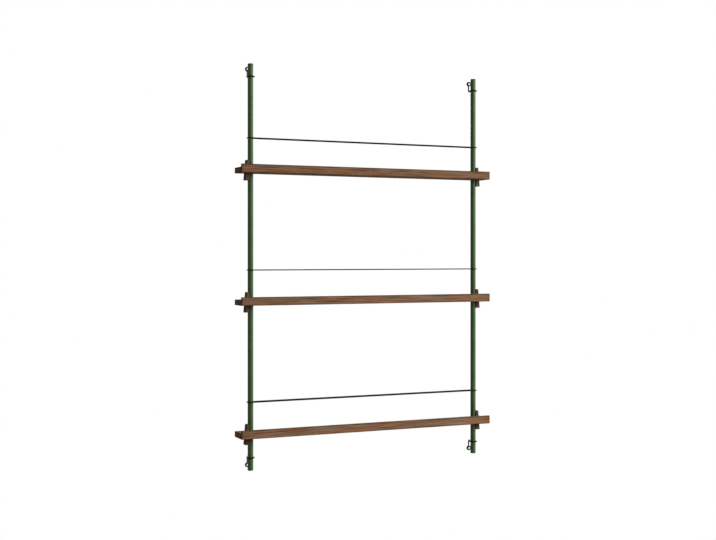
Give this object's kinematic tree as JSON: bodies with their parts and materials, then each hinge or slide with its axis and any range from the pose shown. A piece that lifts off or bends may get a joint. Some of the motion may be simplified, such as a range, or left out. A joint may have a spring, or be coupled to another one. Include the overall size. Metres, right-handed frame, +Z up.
{
  "type": "magazine shelf",
  "caption": "Wall-hung magazine shelf: narrow lipped wood boards wedged onto two upright steel tubes, with an elastic band across the front of each shelf to hold magazines upright.",
  "frame": {"origin": "on the wall, midway between the four brackets' eyes, so midway between the tubes and halfway up", "axes": "+X to the viewer's right along the shelves, +Y into the wall, +Z up along the tubes"},
  "size_m": [0.796, 0.0665, 1.15],
  "materials": {
    "green_powder_coat": "satin dark green powder coat on steel tube",
    "green_plastic": "fine-grained dark green plastic",
    "black_wire": "satin black coat on steel wire",
    "dark_wood": "oiled dark brown wood with straight grain",
    "black_elastic": "matt black round elastic cord"
  },
  "bodies": {
    "uprights": {"left_tube": "green_powder_coat", "right_tube": "green_powder_coat", "left_bottom_plug": "green_plastic", "left_top_plug": "green_plastic", "right_bottom_plug": "green_plastic", "right_top_plug": "green_plastic", "left_bottom_bracket": "black_wire", "left_top_bracket": "black_wire", "right_bottom_bracket": "black_wire", "right_top_bracket": "black_wire"},
    "lower_shelf": {"lower_board": "dark_wood", "lower_lip": "dark_wood"},
    "middle_shelf": {"middle_board": "dark_wood", "middle_lip": "dark_wood"},
    "upper_shelf": {"upper_board": "dark_wood", "upper_lip": "dark_wood"},
    "lower_left_wedge": {"lower_left_wedge": "dark_wood"},
    "lower_right_wedge": {"lower_right_wedge": "dark_wood"},
    "middle_left_wedge": {"middle_left_wedge": "dark_wood"},
    "middle_right_wedge": {"middle_right_wedge": "dark_wood"},
    "upper_left_wedge": {"upper_left_wedge": "dark_wood"},
    "upper_right_wedge": {"upper_right_wedge": "dark_wood"},
    "lower_band": {"lower_band": "black_elastic"},
    "middle_band": {"middle_band": "black_elastic"},
    "upper_band": {"upper_band": "black_elastic"}
  },
  "joints": [
    {"name": "lower_shelf_slide", "type": "slide", "parent": "uprights", "child": "lower_shelf", "axis": [0, 0, 1], "range_m": [-0.009, 0.03]},
    {"name": "middle_shelf_slide", "type": "slide", "parent": "uprights", "child": "middle_shelf", "axis": [0, 0, 1], "range_m": [-0.1, 0.03]},
    {"name": "upper_shelf_slide", "type": "slide", "parent": "uprights", "child": "upper_shelf", "axis": [0, 0, 1], "range_m": [-0.1, 0.03]},
    {"name": "lower_left_wedge_slide", "type": "slide", "parent": "lower_shelf", "child": "lower_left_wedge", "axis": [0, 0, -1], "range_m": [0, 0.025]},
    {"name": "lower_right_wedge_slide", "type": "slide", "parent": "lower_shelf", "child": "lower_right_wedge", "axis": [0, 0, -1], "range_m": [0, 0.025]},
    {"name": "middle_left_wedge_slide", "type": "slide", "parent": "middle_shelf", "child": "middle_left_wedge", "axis": [0, 0, -1], "range_m": [0, 0.025]},
    {"name": "middle_right_wedge_slide", "type": "slide", "parent": "middle_shelf", "child": "middle_right_wedge", "axis": [0, 0, -1], "range_m": [0, 0.025]},
    {"name": "upper_left_wedge_slide", "type": "slide", "parent": "upper_shelf", "child": "upper_left_wedge", "axis": [0, 0, -1], "range_m": [0, 0.025]},
    {"name": "upper_right_wedge_slide", "type": "slide", "parent": "upper_shelf", "child": "upper_right_wedge", "axis": [0, 0, -1], "range_m": [0, 0.025]},
    {"name": "lower_band_slide", "type": "slide", "parent": "uprights", "child": "lower_band", "axis": [0, 0, 1], "range_m": [-0.03, 0.12]},
    {"name": "middle_band_slide", "type": "slide", "parent": "uprights", "child": "middle_band", "axis": [0, 0, 1], "range_m": [-0.03, 0.12]},
    {"name": "upper_band_slide", "type": "slide", "parent": "uprights", "child": "upper_band", "axis": [0, 0, 1], "range_m": [-0.03, 0.12]}
  ]
}
